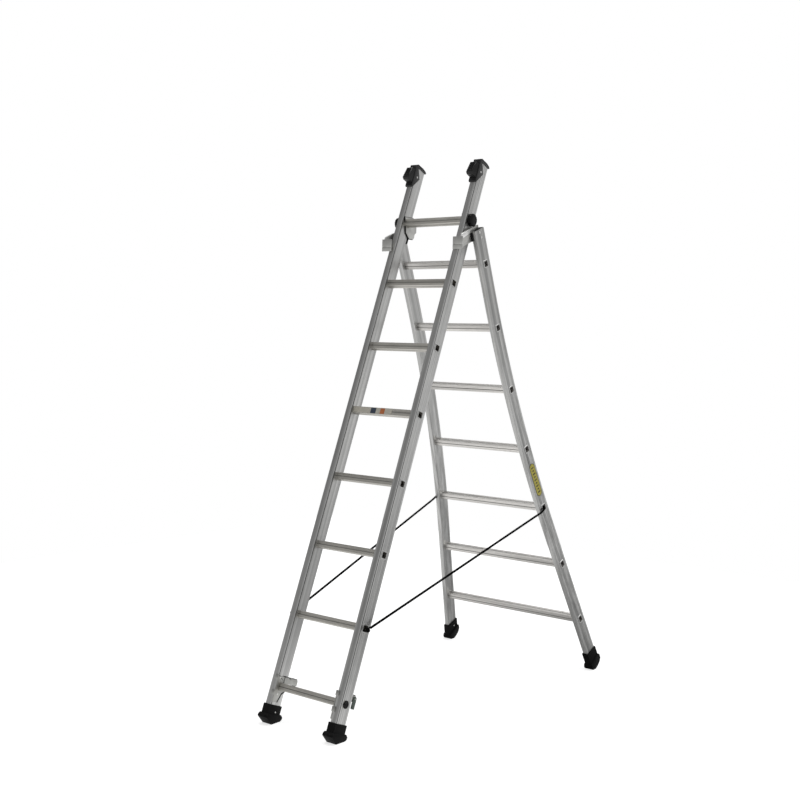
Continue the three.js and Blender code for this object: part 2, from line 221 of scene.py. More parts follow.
def tube_wall(shape, outer, inner):
    """A hollow tube from outer and inner rings of the same counts, open at both ends."""
    outside = loft(shape, outer, closed_ends=False)
    inside = loft(shape, inner, closed_ends=False)
    for end in (0, -1):
        count = len(outside[end])
        for i in range(count):
            j = (i + 1) % count
            corners = (outside[end][i], outside[end][j], inside[end][j], inside[end][i])
            shape.faces.new(corners)


def block(shape, lower, upper, place):
    """A box between two corners of a section's own axes."""
    (x0, y0, z0), (x1, y1, z1) = lower, upper
    ring = [(x0, y0), (x1, y0), (x1, y1), (x0, y1)]
    loft(shape, [[place(x, y, z) for x, y in ring] for z in (z0, z1)])


def prism(shape, outline, x0, x1, place):
    """A side outline in y and z, extruded across."""
    loft(shape, [[place(x, y, z) for y, z in outline] for x in (x0, x1)])


def lathe(shape, profile, centre, axis_sign, steps=48, flutes=0, flute_depth=0):
    """A profile of (radius, height) points turned about a line along x."""
    rings = []
    for radius, height in profile:
        ring = []
        for i in range(steps):
            angle = 2 * math.pi * i / steps
            wave = 1 - flute_depth * (0.5 + 0.5 * math.cos(flutes * angle)) if flutes else 1
            away = Vector((0, math.cos(angle), math.sin(angle))) * radius * wave
            ring.append(centre + away + Vector((axis_sign * height, 0, 0)))
        rings.append(ring)
    loft(shape, rings)


def corner_arc(centre_u, centre_v, radius, start, steps=3):
    angles = [start + math.pi / 2 * i / steps for i in range(steps + 1)]
    return [(centre_u + radius * math.cos(a), centre_v + radius * math.sin(a)) for a in angles]


def soften(node, name, finish, body, slot, width):
    """A copy of a CAD part with clean faces and rounded edges, which stands for it."""
    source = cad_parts[node]
    shape = bmesh.new()
    shape.from_mesh(source.data)
    shape.transform(source.matrix_world)
    bmesh.ops.remove_doubles(shape, verts=shape.verts, dist=WELD["cad"])
    limit = math.radians(FLAT)
    bmesh.ops.dissolve_limit(shape, angle_limit=limit, verts=shape.verts, edges=shape.edges)
    bmesh.ops.recalc_face_normals(shape, faces=shape.faces)
    mesh = bpy.data.meshes.new(name)
    shape.to_mesh(mesh)
    shape.free()
    mesh.materials.append(finish)
    piece = bpy.data.objects.new(name, mesh)
    bpy.context.collection.objects.link(piece)
    bevel(piece, width, angle=25)
    return settle(piece, body, slot, node)


def settle(piece, body, slot, *nodes):
    """The piece rides on a body and stands for CAD nodes. The slot is not used."""
    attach(piece, body)
    if nodes:
        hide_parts(*nodes)
    return piece


# ---- materials ----------------------------------------------------------------------------


MIX = {"a": 6, "b": 7, "result": 2}  # the colour sockets of a Mix node


class Finish:
    """A Principled material with short calls for its nodes."""

    def __init__(self, name, roughness, metallic=0.0):
        self.material = bpy.data.materials.new(name)
        self.material.use_nodes = True
        self.tree = self.material.node_tree
        self.shader = self.tree.nodes["Principled BSDF"]
        self.shader.inputs["Roughness"].default_value = roughness
        self.shader.inputs["Metallic"].default_value = metallic

    def node(self, kind, **values):
        made = self.tree.nodes.new(kind)
        for key, value in values.items():
            if hasattr(made, key):
                setattr(made, key, value)
            else:
                made.inputs[key.replace("_", " ")].default_value = value
        return made

    def link(self, source, target):
        self.tree.links.new(source, target)

    def coordinates(self, scale, turn=0.0):
        """Coordinates turned about x, so that z runs up a leaning section, and scaled."""
        source = self.node("ShaderNodeTexCoord")
        turned = self.node("ShaderNodeMapping", vector_type="POINT")
        turned.inputs["Rotation"].default_value = (turn, 0, 0)
        scaled = self.node("ShaderNodeMapping", vector_type="POINT")
        scaled.inputs["Scale"].default_value = scale
        self.link(source.outputs["Object"], turned.inputs["Vector"])
        self.link(turned.outputs["Vector"], scaled.inputs["Vector"])
        return scaled.outputs["Vector"]

    def math(self, operation, value, other=None):
        """A sum on a socket and, where there is a second term, another socket or a number."""
        made = self.node("ShaderNodeMath", operation=operation)
        self.link(value, made.inputs[0])
        if isinstance(other, bpy.types.NodeSocket):
            self.link(other, made.inputs[1])
        elif other is not None:
            made.inputs[1].default_value = other
        return made.outputs[0]

    def noise(self, vector, detail):
        made = self.node("ShaderNodeTexNoise", Scale=1.0, Detail=detail, Roughness=0.6)
        self.link(vector, made.inputs["Vector"])
        return made.outputs["Fac"]

    def ramp(self, value, stops):
        """A blend from one level or colour to another, each with its position."""
        made = self.node("ShaderNodeValToRGB")
        for element, (position, level) in zip(made.color_ramp.elements, stops):
            element.position = position
            element.color = (*level, 1) if isinstance(level, tuple) else (level, level, level, 1)
        self.link(value, made.inputs["Fac"])
        return made.outputs["Color"]

    def multiply(self, first, second):
        made = self.node("ShaderNodeMix", data_type="RGBA", blend_type="MULTIPLY")
        made.inputs[0].default_value = 1
        self.link(first, made.inputs[MIX["a"]])
        self.link(second, made.inputs[MIX["b"]])
        return made.outputs[MIX["result"]]

    def bump(self, height, strength, distance):
        made = self.node("ShaderNodeBump", Strength=strength, Distance=distance)
        self.link(height, made.inputs["Height"])
        self.link(made.outputs["Normal"], self.shader.inputs["Normal"])

    def colour(self, value):
        self.link(value, self.shader.inputs["Base Color"])

    def rough(self, value):
        self.link(value, self.shader.inputs["Roughness"])


# Noise scales across an extrusion, and along it where it lies along x (rungs) or z (stiles).
FINE_LINES = {"across": 420, "x": 1.5, "z": 1.2}
BROAD_BANDS = {"across": 60, "x": 0.6, "z": 0.5}


def drawn_out(scale, along):
    across = scale["across"]
    return (scale["x"], across, across) if along == "x" else (across, across, scale["z"])


def aluminium(name, tint, along, section, painted_shade, contrast, shine=0.34):
    """Extruded aluminium: fine lines and broader bands along the extrusion, dull patches, and painted shade
    in grooves and bands from the given shade function.
    """
    finish = Finish(name, shine, 1.0)
    fine = finish.noise(finish.coordinates(drawn_out(FINE_LINES, along), section.lean), detail=3)
    bands = finish.noise(finish.coordinates(drawn_out(BROAD_BANDS, along), section.lean), detail=2)
    patches = finish.noise(finish.coordinates((6, 6, 6)), detail=5)
    dark = tuple((1 - contrast) * level for level in tint)
    streaks = finish.ramp(bands, [(0.34, dark), (0.62, tint)])
    lines = finish.ramp(fine, [(0.30, 0.82), (0.62, 1.0)])
    dulled = finish.ramp(patches, [(0.35, 0.90), (0.65, 1.0)])
    colour = finish.multiply(finish.multiply(streaks, lines), dulled)
    # painted shade: the colour is darkened in the grooves and bands that the shade function gives
    finish.colour(finish.multiply(colour, painted_shade(finish, section)))
    finish.rough(finish.ramp(fine, [(0.25, shine + 0.12), (0.75, shine - 0.06)]))
    finish.bump(fine, 0.25, 0.0002)
    return finish.material


def own_axes(finish, section):
    """The distances behind the section's front face and up its stiles, as two sockets."""
    split = finish.node("ShaderNodeSeparateXYZ")
    finish.link(finish.coordinates((1, 1, 1), section.lean), split.inputs["Vector"])
    behind = finish.math("SUBTRACT", split.outputs["Y"], section.back.dot(section.origin))
    height = finish.math("SUBTRACT", split.outputs["Z"], section.up.dot(section.origin))
    return behind, height


# Bands of painted shade across a stile's sides: distance behind the front face, half width and level.
EDGE_SHADE = {"middle": EDGE_GROOVE["middle"], "half": EDGE_GROOVE["half"], "dark": 0.22}
FRONT_BAND = {"middle": 0.021, "half": 0.010, "dark": 0.66}
REAR_BAND = {"middle": 0.052, "half": 0.004, "dark": 0.80}
# the front band of painted shade is kept faint on the sides that face inwards
INNER_SIDE_LEVEL = 0.92  # the front band is no darker than this on the inner sides


def shade_line(finish, distance, line):
    """Painted shade: dark along a line at one distance, as wide and as dark as the line says, and white
    beyond it.
    """
    away = finish.math("ABSOLUTE", finish.math("SUBTRACT", distance, line["middle"]))
    share = finish.math("DIVIDE", away, 2 * line["half"])
    return finish.ramp(share, [(0.36, line["dark"]), (0.58, 1.0)])


def fly_stile_shade(finish, section):
    """Painted shade: dark in the groove by the front edge of a stile."""
    behind, _ = own_axes(finish, section)
    return shade_line(finish, behind, EDGE_SHADE)


def faces_inwards(finish):
    """One on the faces turned towards the ladder's middle, and zero on the others."""
    source = finish.node("ShaderNodeTexCoord")
    product = finish.node("ShaderNodeVectorMath", operation="MULTIPLY")
    finish.link(source.outputs["Object"], product.inputs[0])
    finish.link(source.outputs["Normal"], product.inputs[1])
    split = finish.node("ShaderNodeSeparateXYZ")
    finish.link(product.outputs["Vector"], split.inputs["Vector"])
    return finish.math("LESS_THAN", split.outputs["X"], 0)


def base_stile_shade(finish, section):
    """Painted shade: a broad dark band down the front half of a stile's outer side, and a narrower one near
    the rear.
    """
    behind, _ = own_axes(finish, section)
    front = shade_line(finish, behind, FRONT_BAND)
    inner_level = finish.math("MULTIPLY", faces_inwards(finish), INNER_SIDE_LEVEL)
    outer_only = finish.math("MAXIMUM", front, inner_level)
    return finish.multiply(outer_only, shade_line(finish, behind, REAR_BAND))


def rung_groove_shade(finish, section):
    """Painted shade: dark in the wide groove along the middle of every side of a rung."""
    behind, height = own_axes(finish, section)
    above_low = finish.math("SUBTRACT", height, section.low - PITCH / 2)
    in_pitch = finish.math("FLOORED_MODULO", above_low, PITCH)
    groove = {"half": RUNG_GROOVE["half"], "dark": 0.55 if section is fly else 0.42}
    upright = shade_line(finish, in_pitch, {"middle": PITCH / 2, **groove})
    level = shade_line(finish, behind, {"middle": section.depth / 2, **groove})
    return finish.multiply(upright, level)


def cast_metal(name, tint):
    """Pressed and tumbled fittings: a fine even grain with rubbed patches."""
    finish = Finish(name, 0.42, 1.0)
    grain = finish.noise(finish.coordinates((900, 900, 900)), detail=2)
    patches = finish.noise(finish.coordinates((25, 25, 25)), detail=5)
    dark = tuple(0.82 * level for level in tint)
    finish.colour(finish.ramp(patches, [(0.3, dark), (0.7, tint)]))
    finish.rough(finish.ramp(patches, [(0.3, 0.5), (0.7, 0.36)]))
    finish.bump(grain, 0.2, 0.0002)
    return finish.material


def moulded(name, level, roughness, dust=0.006, grain_scale=1400, gloss=0.14):
    """Black moulded plastic or rubber: a fine grain and a trace of grey dust."""
    finish = Finish(name, roughness)
    finish.shader.inputs["Specular IOR Level"].default_value = gloss
    grain = finish.noise(finish.coordinates((grain_scale,) * 3), detail=2)
    rubbed = finish.noise(finish.coordinates((30, 30, 30)), detail=6)
    dusty = tuple(part + dust for part in level)
    finish.colour(finish.ramp(rubbed, [(0.42, level), (0.75, dusty)]))
    finish.rough(finish.ramp(rubbed, [(0.35, roughness - 0.08), (0.7, roughness + 0.12)]))
    finish.bump(grain, 0.3, 0.00025)
    return finish.material


def braid():
    """Braided cord: strands crossing at a slant, from the tube's own u and v."""
    finish = Finish("cord_braid", 0.9)
    finish.shader.inputs["Specular IOR Level"].default_value = 0.0
    source = finish.node("ShaderNodeTexCoord")
    split = finish.node("ShaderNodeSeparateXYZ")
    finish.link(source.outputs["UV"], split.inputs["Vector"])
    waves = []
    for operation in ("ADD", "SUBTRACT"):
        slant = finish.math(operation, split.outputs["X"], split.outputs["Y"])
        waves.append(finish.math("SINE", finish.math("MULTIPLY", slant, 8 * math.pi)))
    strands = finish.math("MAXIMUM", *waves)
    finish.colour(finish.ramp(strands, [(0.1, 0.003), (0.9, 0.009)]))
    finish.bump(strands, 0.6, 0.0006)
    return finish.material


def printed(name, tint):
    """A paper or film label, slightly yellowed and scuffed."""
    finish = Finish(name, 0.5)
    scuffs = finish.noise(finish.coordinates((120, 120, 120)), detail=6)
    worn = tuple(0.82 * level for level in tint)
    finish.colour(finish.ramp(scuffs, [(0.3, worn), (0.6, tint)]))
    finish.bump(scuffs, 0.1, 0.0001)
    return finish.material


FLY_TINT = (0.68, 0.68, 0.67)
BASE_TINT = (0.60, 0.60, 0.59)
RUNG_TINTS = {"fly": (0.72, 0.70, 0.65), "base": (0.86, 0.84, 0.81)}
# each aluminium takes its painted shade: in the grooves of the sliding stiles and the rungs, and in bands on
# the base stiles
fly_metal = aluminium("fly_aluminium", FLY_TINT, "z", fly, fly_stile_shade, 0.30)
base_metal = aluminium("base_aluminium", BASE_TINT, "z", base, base_stile_shade, 0.34)
rung_metals = {
    name: aluminium(f"{name}_rung_aluminium", RUNG_TINTS[name], "x", section, rung_groove_shade, 0.24, 0.42)
    for name, section in (("fly", fly), ("base", base))
}
fitting_metal = cast_metal("fitting_metal", (0.58, 0.58, 0.56))
hook_metal = cast_metal("hook_metal", (0.44, 0.44, 0.42))
rim_metal = cast_metal("rim_metal", (0.62, 0.62, 0.61))
# a much lighter copy of the fitting metal: a painted highlight for the light that the bar reflects from above
bar_metal_painted_highlight = cast_metal("bar_metal_painted_highlight", (0.96, 0.96, 0.95))
rivet_metal = cast_metal("rivet_metal", (0.78, 0.78, 0.76))
cap_plastic = moulded("cap_plastic", (0.005, 0.005, 0.0052), 0.34, gloss=0.3)
knob_plastic = moulded("knob_plastic", (0.003, 0.003, 0.0032), 0.36)
pad_plastic = moulded("pad_plastic", (0.005, 0.005, 0.005), 0.5)
latch_plastic = moulded("latch_plastic", (0.075, 0.095, 0.082), 0.45, dust=0.03)
foot_rubber = moulded("foot_rubber", (0.002, 0.002, 0.002), 0.6, dust=0.004, grain_scale=900, gloss=0.10)
yellow_film = printed("yellow_film", (0.46, 0.40, 0.05))
pale_film = printed("pale_film", (0.46, 0.44, 0.38))
olive_ink = printed("olive_ink", (0.07, 0.065, 0.012))
slate_ink = printed("slate_ink", (0.03, 0.045, 0.07))
ochre_ink = printed("ochre_ink", (0.42, 0.13, 0.04))
cord_braid = braid()

# ---- cords --------------------------------------------------------------------------------

# The right-hand cord's points: out of the base rung, round the edge of its end, forward along a taut
# straight line to the knot on the sliding section.
CORD_ROUTE = [
    (0.262, 0.4736, 0.7566), (0.270, 0.4736, 0.7566), (0.277, 0.4732, 0.7562), (0.2834, 0.4712, 0.755),
    (0.2878, 0.4662, 0.7522), (0.2898, 0.458, 0.7475), (0.290, 0.447, 0.7415), (0.289, 0.432, 0.735),
    (0.2839, 0.380, 0.7182), (0.2746, 0.280, 0.6858), (0.2652, 0.180, 0.6535), (0.2558, 0.080, 0.6212),
    (0.2465, -0.020, 0.5888), (0.2371, -0.120, 0.5565), (0.2277, -0.220, 0.5241), (0.2184, -0.320, 0.4918),
    (0.209, -0.420, 0.4595), (0.1996, -0.520, 0.4271), (0.1931, -0.590, 0.4045), (0.1908, -0.6144, 0.3966),
]


def smooth_path(points, steps):
    """Points along a centripetal Catmull-Rom curve through the given ones."""
    padded = [2 * points[0] - points[1], *points, 2 * points[-1] - points[-2]]
    path = []
    for before, start, end, after in zip(padded, padded[1:], padded[2:], padded[3:]):
        knots = [0.0]
        for first, second in ((before, start), (start, end), (end, after)):
            knots.append(knots[-1] + math.sqrt((second - first).length))
        for i in range(steps):
            t = knots[1] + (knots[2] - knots[1]) * i / steps

            def blend(p, q, low, high):
                return p * ((high - t) / (high - low)) + q * ((t - low) / (high - low))

            a1 = blend(before, start, knots[0], knots[1])
            a2 = blend(start, end, knots[1], knots[2])
            a3 = blend(end, after, knots[2], knots[3])
            b1 = blend(a1, a2, knots[0], knots[2])
            b2 = blend(a2, a3, knots[1], knots[3])
            path.append(blend(b1, b2, knots[1], knots[2]))
    path.append(points[-1])
    return path


def path_length(path):
    return sum((b - a).length for a, b in zip(path, path[1:]))


AROUND = 12  # corners round a cord


def tube_along(name, path, diameter, finish, closed=False):
    """A round tube along a path. Its u grows by one every two diameters, and its v goes once around."""
    mesh = bpy.data.meshes.new(name)
    shape = bmesh.new()
    uv = shape.loops.layers.uv.new("UVMap")
    count = len(path)
    side = Vector((0, 0, 1))
    rows = []
    lengths = [0.0]
    for i, point in enumerate(path):
        after = path[(i + 1) % count] if closed or i + 1 < count else point
        before = path[i - 1] if closed or i > 0 else point
        ahead = (after - before).normalized()
        side = (side - ahead * side.dot(ahead)).normalized()
        across = ahead.cross(side)
        ring = []
        for j in range(AROUND):
            angle = 2 * math.pi * j / AROUND
            outwards = side * math.cos(angle) + across * math.sin(angle)
            ring.append(shape.verts.new(point + outwards * diameter / 2))
        rows.append(ring)
        if i > 0:
            lengths.append(lengths[-1] + (point - path[i - 1]).length / diameter)
    spans = count if closed else count - 1
    for i in range(spans):
        row, following = rows[i], rows[(i + 1) % count]
        along = (lengths[i], lengths[i] + (path[(i + 1) % count] - path[i]).length / diameter)
        for j in range(AROUND):
            k = (j + 1) % AROUND
            face = shape.faces.new((row[j], row[k], following[k], following[j]))
            places = [(along[0], j), (along[0], j + 1), (along[1], j + 1), (along[1], j)]
            for loop, (u, v) in zip(face.loops, places):
                loop[uv].uv = (u / 2, v / AROUND)
    if not closed:
        shape.faces.new(rows[0])
        shape.faces.new(list(reversed(rows[-1])))
    bmesh.ops.recalc_face_normals(shape, faces=shape.faces)
    shape.to_mesh(mesh)
    shape.free()
    mesh.materials.append(finish)
    piece = bpy.data.objects.new(name, mesh)
    bpy.context.collection.objects.link(piece)
    smooth(piece, SHARP["cord"])
    return piece


def knot_path(centre, sign):
    """An overhand knot pulled tight: a trefoil, flattened against the stile."""
    points = []
    for i in range(KNOT["steps"]):
        t = 2 * math.pi * i / KNOT["steps"]
        y = math.sin(t) + 2 * math.sin(2 * t)
        z = math.cos(t) - 2 * math.cos(2 * t)
        x = -math.sin(3 * t)
        points.append(centre + Vector((sign * x * KNOT["wide"], y * KNOT["high"], z * KNOT["high"])))
    return points


def make_cord(side, sign):
    loops = knot_path(middle(f"cord_knot_{side}"), sign)
    knot = tube_along(f"knot_{side}", loops, KNOT["cord"], cord_braid, closed=True)
    settle(knot, fly.body, "cord", f"cord_knot_{side}")
    points = [Vector((sign * x, y, z)) for x, y, z in CORD_ROUTE]
    path = smooth_path(points, CORD_STEPS)
    cord = tube_along(f"restraint_cord_{side}", path, CORD_DIAMETER, cord_braid)
    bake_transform(cord)
    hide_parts(f"cord_{side}")
    path_length(path)
    [tuple(point) for point in path]


for side, sign in SIDES.items():
    make_cord(side, sign)

# ---- stiles and rungs ---------------------------------------------------------------------

BASE_EDGE_SHARE = 0.35  # depth of the base stiles' edge groove against the sliding ones'
BENT_STEPS = 72  # lengths that a bent stile is made of; a straight one has two
HOLE_MARGIN = 0.01  # that the cutters of the rung holes reach past a stile's sides


def face_grooves(x, deep, grooves):
    """The points of a face with grooves, each with its middle, its half width and its share of the depth."""
    points = []
    for centre, half, share in grooves:
        floor = x - deep * share
        slant = abs(deep) * share / 2
        points += [(x, centre - half), (floor, centre - half + slant)]
        points += [(floor, centre + half - slant), (x, centre + half)]
    return points


def stile_profile(section):
    """The stile's outline: rounded corners, a deep groove by the front edge and shallow ones behind it."""
    inner, outer, depth = section.inner, section.half, section.depth
    edge = (EDGE_GROOVE["middle"], EDGE_GROOVE["half"], 1.0 if section is fly else BASE_EDGE_SHARE)
    half, deep = depth * SHALLOW_GROOVES["half"], SHALLOW_GROOVES["deep"]
    shallow = [(depth * share, half, deep) for share in SHALLOW_GROOVES["at"]]
    points = corner_arc(outer - CORNER, CORNER, CORNER, -math.pi / 2)
    points += face_grooves(outer, EDGE_GROOVE["deep"], [edge, *shallow])
    points += corner_arc(outer - CORNER, depth - CORNER, CORNER, 0)
    points += corner_arc(inner + CORNER, depth - CORNER, CORNER, math.pi / 2)
    points += reversed(face_grooves(inner, -EDGE_GROOVE["deep"], [edge]))
    points += corner_arc(inner + CORNER, CORNER, CORNER, math.pi)
    return points


def make_stile(section, side, sign, finish):
    profile = stile_profile(section)
    w = STILE_WALL
    lining = [
        (min(max(x, section.inner + w), section.half - w), min(max(y, w), section.depth - w))
        for x, y in profile
    ]
    steps = BENT_STEPS if section is base else 2
    heights = [section.foot + (section.top - section.foot) * i / steps for i in range(steps + 1)]

    def ring(points, z):
        placed = [section.place(x, y, z) for x, y in points]
        return [Vector((sign * p.x, p.y, p.z)) for p in placed]

    def build(shape):
        tube_wall(shape, [ring(profile, z) for z in heights], [ring(lining, z) for z in heights])

    def holes(shape):
        size = RUNG["size"] / 2
        y = section.depth / 2
        for number in range(1, section.count + 1):
            z = section.rung_height(number)
            x = section.half + section.spread(z)
            low = (x - section.thick - HOLE_MARGIN, y - size, z - size)
            high = (x + HOLE_MARGIN, y + size, z + size)
            block(shape, low, high, lambda a, b, c: Vector((sign, 1, 1)) * section.level(a, b, c))

    piece = piece_from(f"{section.name}_stile_tube_{side}", build, finish)
    cut(piece, piece_from("rung_holes", holes, finish))
    settle(piece, section.body, "stile", f"{section.name}_stile_{side}")


def rung_profile():
    """A square with rounded corners and, along every side, a wide groove between two narrow ones."""
    half = RUNG["size"] / 2
    radius, wide, narrow = RUNG["corner"], RUNG_GROOVE["half"], RUNG_GROOVE["half"] / 2
    deep, beside = RUNG_GROOVE["deep"], RUNG_GROOVE["beside"]
    side = [(radius - half, 0)]
    for centre, width, share in ((-beside, narrow, 0.5), (0.0, wide, 1.0), (beside, narrow, 0.5)):
        side += [(centre - width, 0), (centre - width / 2, deep * share)]
        side += [(centre + width / 2, deep * share), (centre + width, 0)]
    outline = []
    for quarter in range(4):
        turn = Matrix.Rotation(quarter * math.pi / 2, 2)
        outline += [turn @ Vector((u, v - half)) for u, v in side]
        outline += [turn @ Vector(p) for p in corner_arc(half - radius, -half + radius, radius, -math.pi / 2)]
    return outline


def make_rung(section, number):
    profile = rung_profile()
    bore = RUNG["size"] / 2 - RUNG["wall"]
    lining = [Vector((min(max(u, -bore), bore), min(max(v, -bore), bore))) for u, v in profile]
    height = section.rung_height(number)

    def ring(points, sign):
        placed = []
        for u, v in points:
            end = section.half + RUNG["proud"] + section.spread(height + v)
            placed.append(section.level(sign * end, section.depth / 2 + u, height + v))
        return placed

    def build(shape):
        tube_wall(shape, [ring(profile, s) for s in (-1, 1)], [ring(lining, s) for s in (-1, 1)])

    piece = piece_from(f"{section.name}_step_{number}", build, rung_metals[section.name])
    settle(piece, section.body, "rung", f"{section.name}_rung_{number}")


RIM = {"half": 0.0162, "proud": 0.0011, "slope": 0.0008, "corner": 0.25}


def make_rims(section, side, sign):
    """The swaged rims of the rung ends on a stile's outer face, in one piece."""
    outer, inner, proud = RIM["half"], RUNG["size"] / 2 - RUNG["wall"], RIM["proud"]

    def ring(number, half, lift):
        radius = RIM["corner"] * half
        corners = []
        for quarter in range(4):
            turn = Matrix.Rotation(quarter * math.pi / 2, 2)
            arc = corner_arc(half - radius, radius - half, radius, -math.pi / 2)
            corners += [turn @ Vector(point) for point in arc]
        height = section.rung_height(number)
        middle_y = section.depth / 2
        placed = [section.place(section.half + lift, middle_y + u, height + v) for u, v in corners]
        return [Vector((sign * p.x, p.y, p.z)) for p in placed]

    def build(shape):
        skipped = 0 if section is base else 1  # the knobs and plugs cover the outermost sliding rungs
        for number in range(1 + skipped, section.count + 1 - skipped):
            outside = [ring(number, outer, 0), ring(number, outer - RIM["slope"], proud)]
            tube_wall(shape, outside, [ring(number, inner, 0), ring(number, inner, proud)])

    piece = piece_from(f"{section.name}_rung_rims_{side}", build, rim_metal)
    settle(piece, section.body, "rung")


for section, finish in ((fly, fly_metal), (base, base_metal)):
    for side, sign in SIDES.items():
        make_stile(section, side, sign, finish)
        make_rims(section, side, sign)
    for number in range(1, section.count + 1):
        make_rung(section, number)

# ---- fittings -----------------------------------------------------------------------------

AXIS = 0.0003  # the radius at which a turned shape is closed
STANDOFF = 0.0008  # between a stile's outer face and a knob or plug on it
KNOB = {"radius": 0.026, "thick": 0.0195, "chamfer": 0.002, "axis": 0.0004}
FLUTES = {"flutes": 16, "flute_depth": 0.045, "steps": 128}
# Turned shapes, as radius and height. The knob's heights are counted from its top, and so are the lip's
# radii from its radius.
KNOB_LIP = [(0, -0.0058), (-0.0010, -0.0028), (-0.0040, -0.0014)]
KNOB_FACE = [
    (0.0185, -0.0030), (0.0185, -0.0012), (0.0165, -0.0008), (0.0150, -0.0030),
    (0.0105, -0.0032), (0.0095, -0.0012), (0.0050, -0.0010), (AXIS, -0.0010),
]
PLUG = [
    (AXIS, 0), (0.015, 0), (0.015, 0.0012), (0.0138, 0.0021), (0.0110, 0.0027),
    (0.0095, 0.0018), (0.0055, 0.0018), (0.0045, 0.0028), (AXIS, 0.0029),
]
RIVET = {"radius": 0.0042, "height": 0.0016, "sunk": 0.0006, "dimple": 0.85}
# A rivet's head from its rim to the edge of its dimple, in shares of its radius and height.
RIVET_HEAD = [(1, 0.3), (0.8, 0.75), (0.45, 1), (0.35, 0.9)]
COVER = 0.004  # wall of the caps and the feet
HOOK_FACE = 0.0053  # from a sliding stile's inner face to the hook plate's
# Side outlines in the sliding section's axes, each with its two distances inside the stile's inner face.
HOOK_DARK_STRIPS = [
    ([(0.058, 0.142), (0.038, 0.128), (0.024, 0.092), (0.031, 0.092), (0.044, 0.1235), (0.0605, 0.137)],
     0.0040, 0.0004),
    ([(0.036, 0.1902), (0.110, 0.1902), (0.110, 0.1926), (0.036, 0.1926)], 0.0048, 0.0008),
    ([(0.0345, 0.160), (0.0375, 0.160), (0.0375, 0.1895), (0.0345, 0.1895)],
     HOOK_FACE + 0.0004, HOOK_FACE + 0.0001),
]
# The bracket bar's outline in the base section's axes, with heights counted from the bracket's top.
BAR_OUTLINE = [(-0.077, -0.020), (-0.010, -0.014), (-0.010, 0), (-0.068, 0), (-0.0755, -0.006)]
BAR = {"below": 0.0002, "inside": 0.0003, "thick": 0.0055, "bevel": 0.001}


def mirrored(section, sign):
    """The section's own axes for one side, with x measured outwards."""
    return lambda x, y, z: Vector((sign, 1, 1)) * section.place(x, y, z)


def make_rivet(name, section, sign, place, face, size):
    """A domed rivet head on a face that looks outwards (face 1) or inwards (face -1)."""
    radius, height = RIVET["radius"] * size, RIVET["height"] * size
    head = [(across * radius, up * height) for across, up in RIVET_HEAD]
    profile = [(radius, -RIVET["sunk"]), *head, (AXIS, RIVET["dimple"] * height)]
    centre = mirrored(section, sign)(*place)

    def build(shape):
        lathe(shape, profile, centre, sign * face, steps=24)

    settle(piece_from(name, build, rivet_metal), section.body, "bracket")


def make_knob(side, sign):
    """The pivot knob: a fluted rim, and a sunk face with a raised boss."""
    radius, thick, chamfer, axis = (KNOB[key] for key in ("radius", "thick", "chamfer", "axis"))
    centre = mirrored(fly, sign)(fly.half + STANDOFF, fly.depth / 2, fly.rung_height(1))
    lip = [(radius + inside, thick + below) for inside, below in KNOB_LIP]
    back = [(axis, 0), (radius - chamfer, 0), (radius, chamfer)]
    grip_profile = [*back, *lip, (axis, lip[-1][1])]
    face_profile = [(across, thick + below) for across, below in KNOB_FACE]

    def grip(shape):
        lathe(shape, grip_profile, centre, sign, **FLUTES)

    def face(shape):
        lathe(shape, face_profile, centre, sign)

    rim_piece = piece_from(f"knob_grip_{side}", grip, knob_plastic)
    settle(rim_piece, fly.body, "knob_plastic", f"pivot_knob_{side}")
    settle(piece_from(f"knob_face_{side}", face, knob_plastic), fly.body, "knob_plastic")


def make_hook_dark_strips(side, sign):
    """Black strips that show past the hook plate's lower rear edge and over its arm."""

    def build(shape):
        for outline, far, close in HOOK_DARK_STRIPS:
            prism(shape, outline, fly.inner - far, fly.inner - close, mirrored(fly, sign))

    settle(piece_from(f"hook_backing_{side}", build, pad_plastic), fly.body, "pad_plastic")


def make_bracket_bar(side, sign):
    """The bar along the upper edge of the bracket's plate, from its flange to the stile, much lighter than
    the other fittings: a painted highlight.
    """
    top = highest_along(base, f"base_bracket_{side}") - BAR["below"]
    outline = [(y, top + z) for y, z in BAR_OUTLINE]
    face = base.inner - BAR["inside"]

    def build(shape):
        prism(shape, outline, face, face + BAR["thick"], mirrored(base, sign))

    piece = piece_from(f"bracket_bar_{side}", build, bar_metal_painted_highlight)
    bevel(piece, BAR["bevel"])
    settle(piece, base.body, "bracket")


def highest_along(section, node):
    """How far up a section's stiles a CAD part reaches."""
    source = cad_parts[node]
    points = [source.matrix_world @ vertex.co for vertex in source.data.vertices]
    return max((point - section.origin).dot(section.up) for point in points)


def make_plug(side, sign):
    """The domed plug in the end of the lowest sliding rung, with a ring sunk into it."""
    centre = mirrored(fly, sign)(fly.half + STANDOFF, fly.depth / 2, fly.low)

    def build(shape):
        lathe(shape, PLUG, centre, sign, steps=40)

    piece = piece_from(f"plug_{side}", build, knob_plastic)
    settle(piece, fly.body, "cap_plastic", f"rung_plug_{side}")


# Each softened part: its CAD name, its piece's name, finish, body, slot and edge radius.
SOFTENED = [
    ("top_cap", "cap_shell", cap_plastic, fly.body, "cap_plastic", 0.0014),
    ("fly_foot", "front_shoe", foot_rubber, fly.body, "foot_rubber", 0.0016),
    ("base_foot", "rear_shoe", foot_rubber, base.body, "foot_rubber", 0.0018),
    ("apex_pad", "apex_border", pad_plastic, fly.body, "pad_plastic", 0.0008),
    ("apex_plate", "apex_face", fitting_metal, fly.body, "bracket", 0.0006),
    ("rung_hook", "hook_plate", hook_metal, fly.body, "bracket", 0.0010),
    ("base_bracket", "bracket_web", fitting_metal, base.body, "bracket", 0.0010),
    ("bracket_flange", "stop_flange", fitting_metal, base.body, "bracket", 0.0007),
    ("bracket_pad", "wear_pad", pad_plastic, base.body, "pad_plastic", 0.0010),
    ("guide_shoe", "slide_shoe", pad_plastic, "guides", "pad_plastic", 0.0012),
]


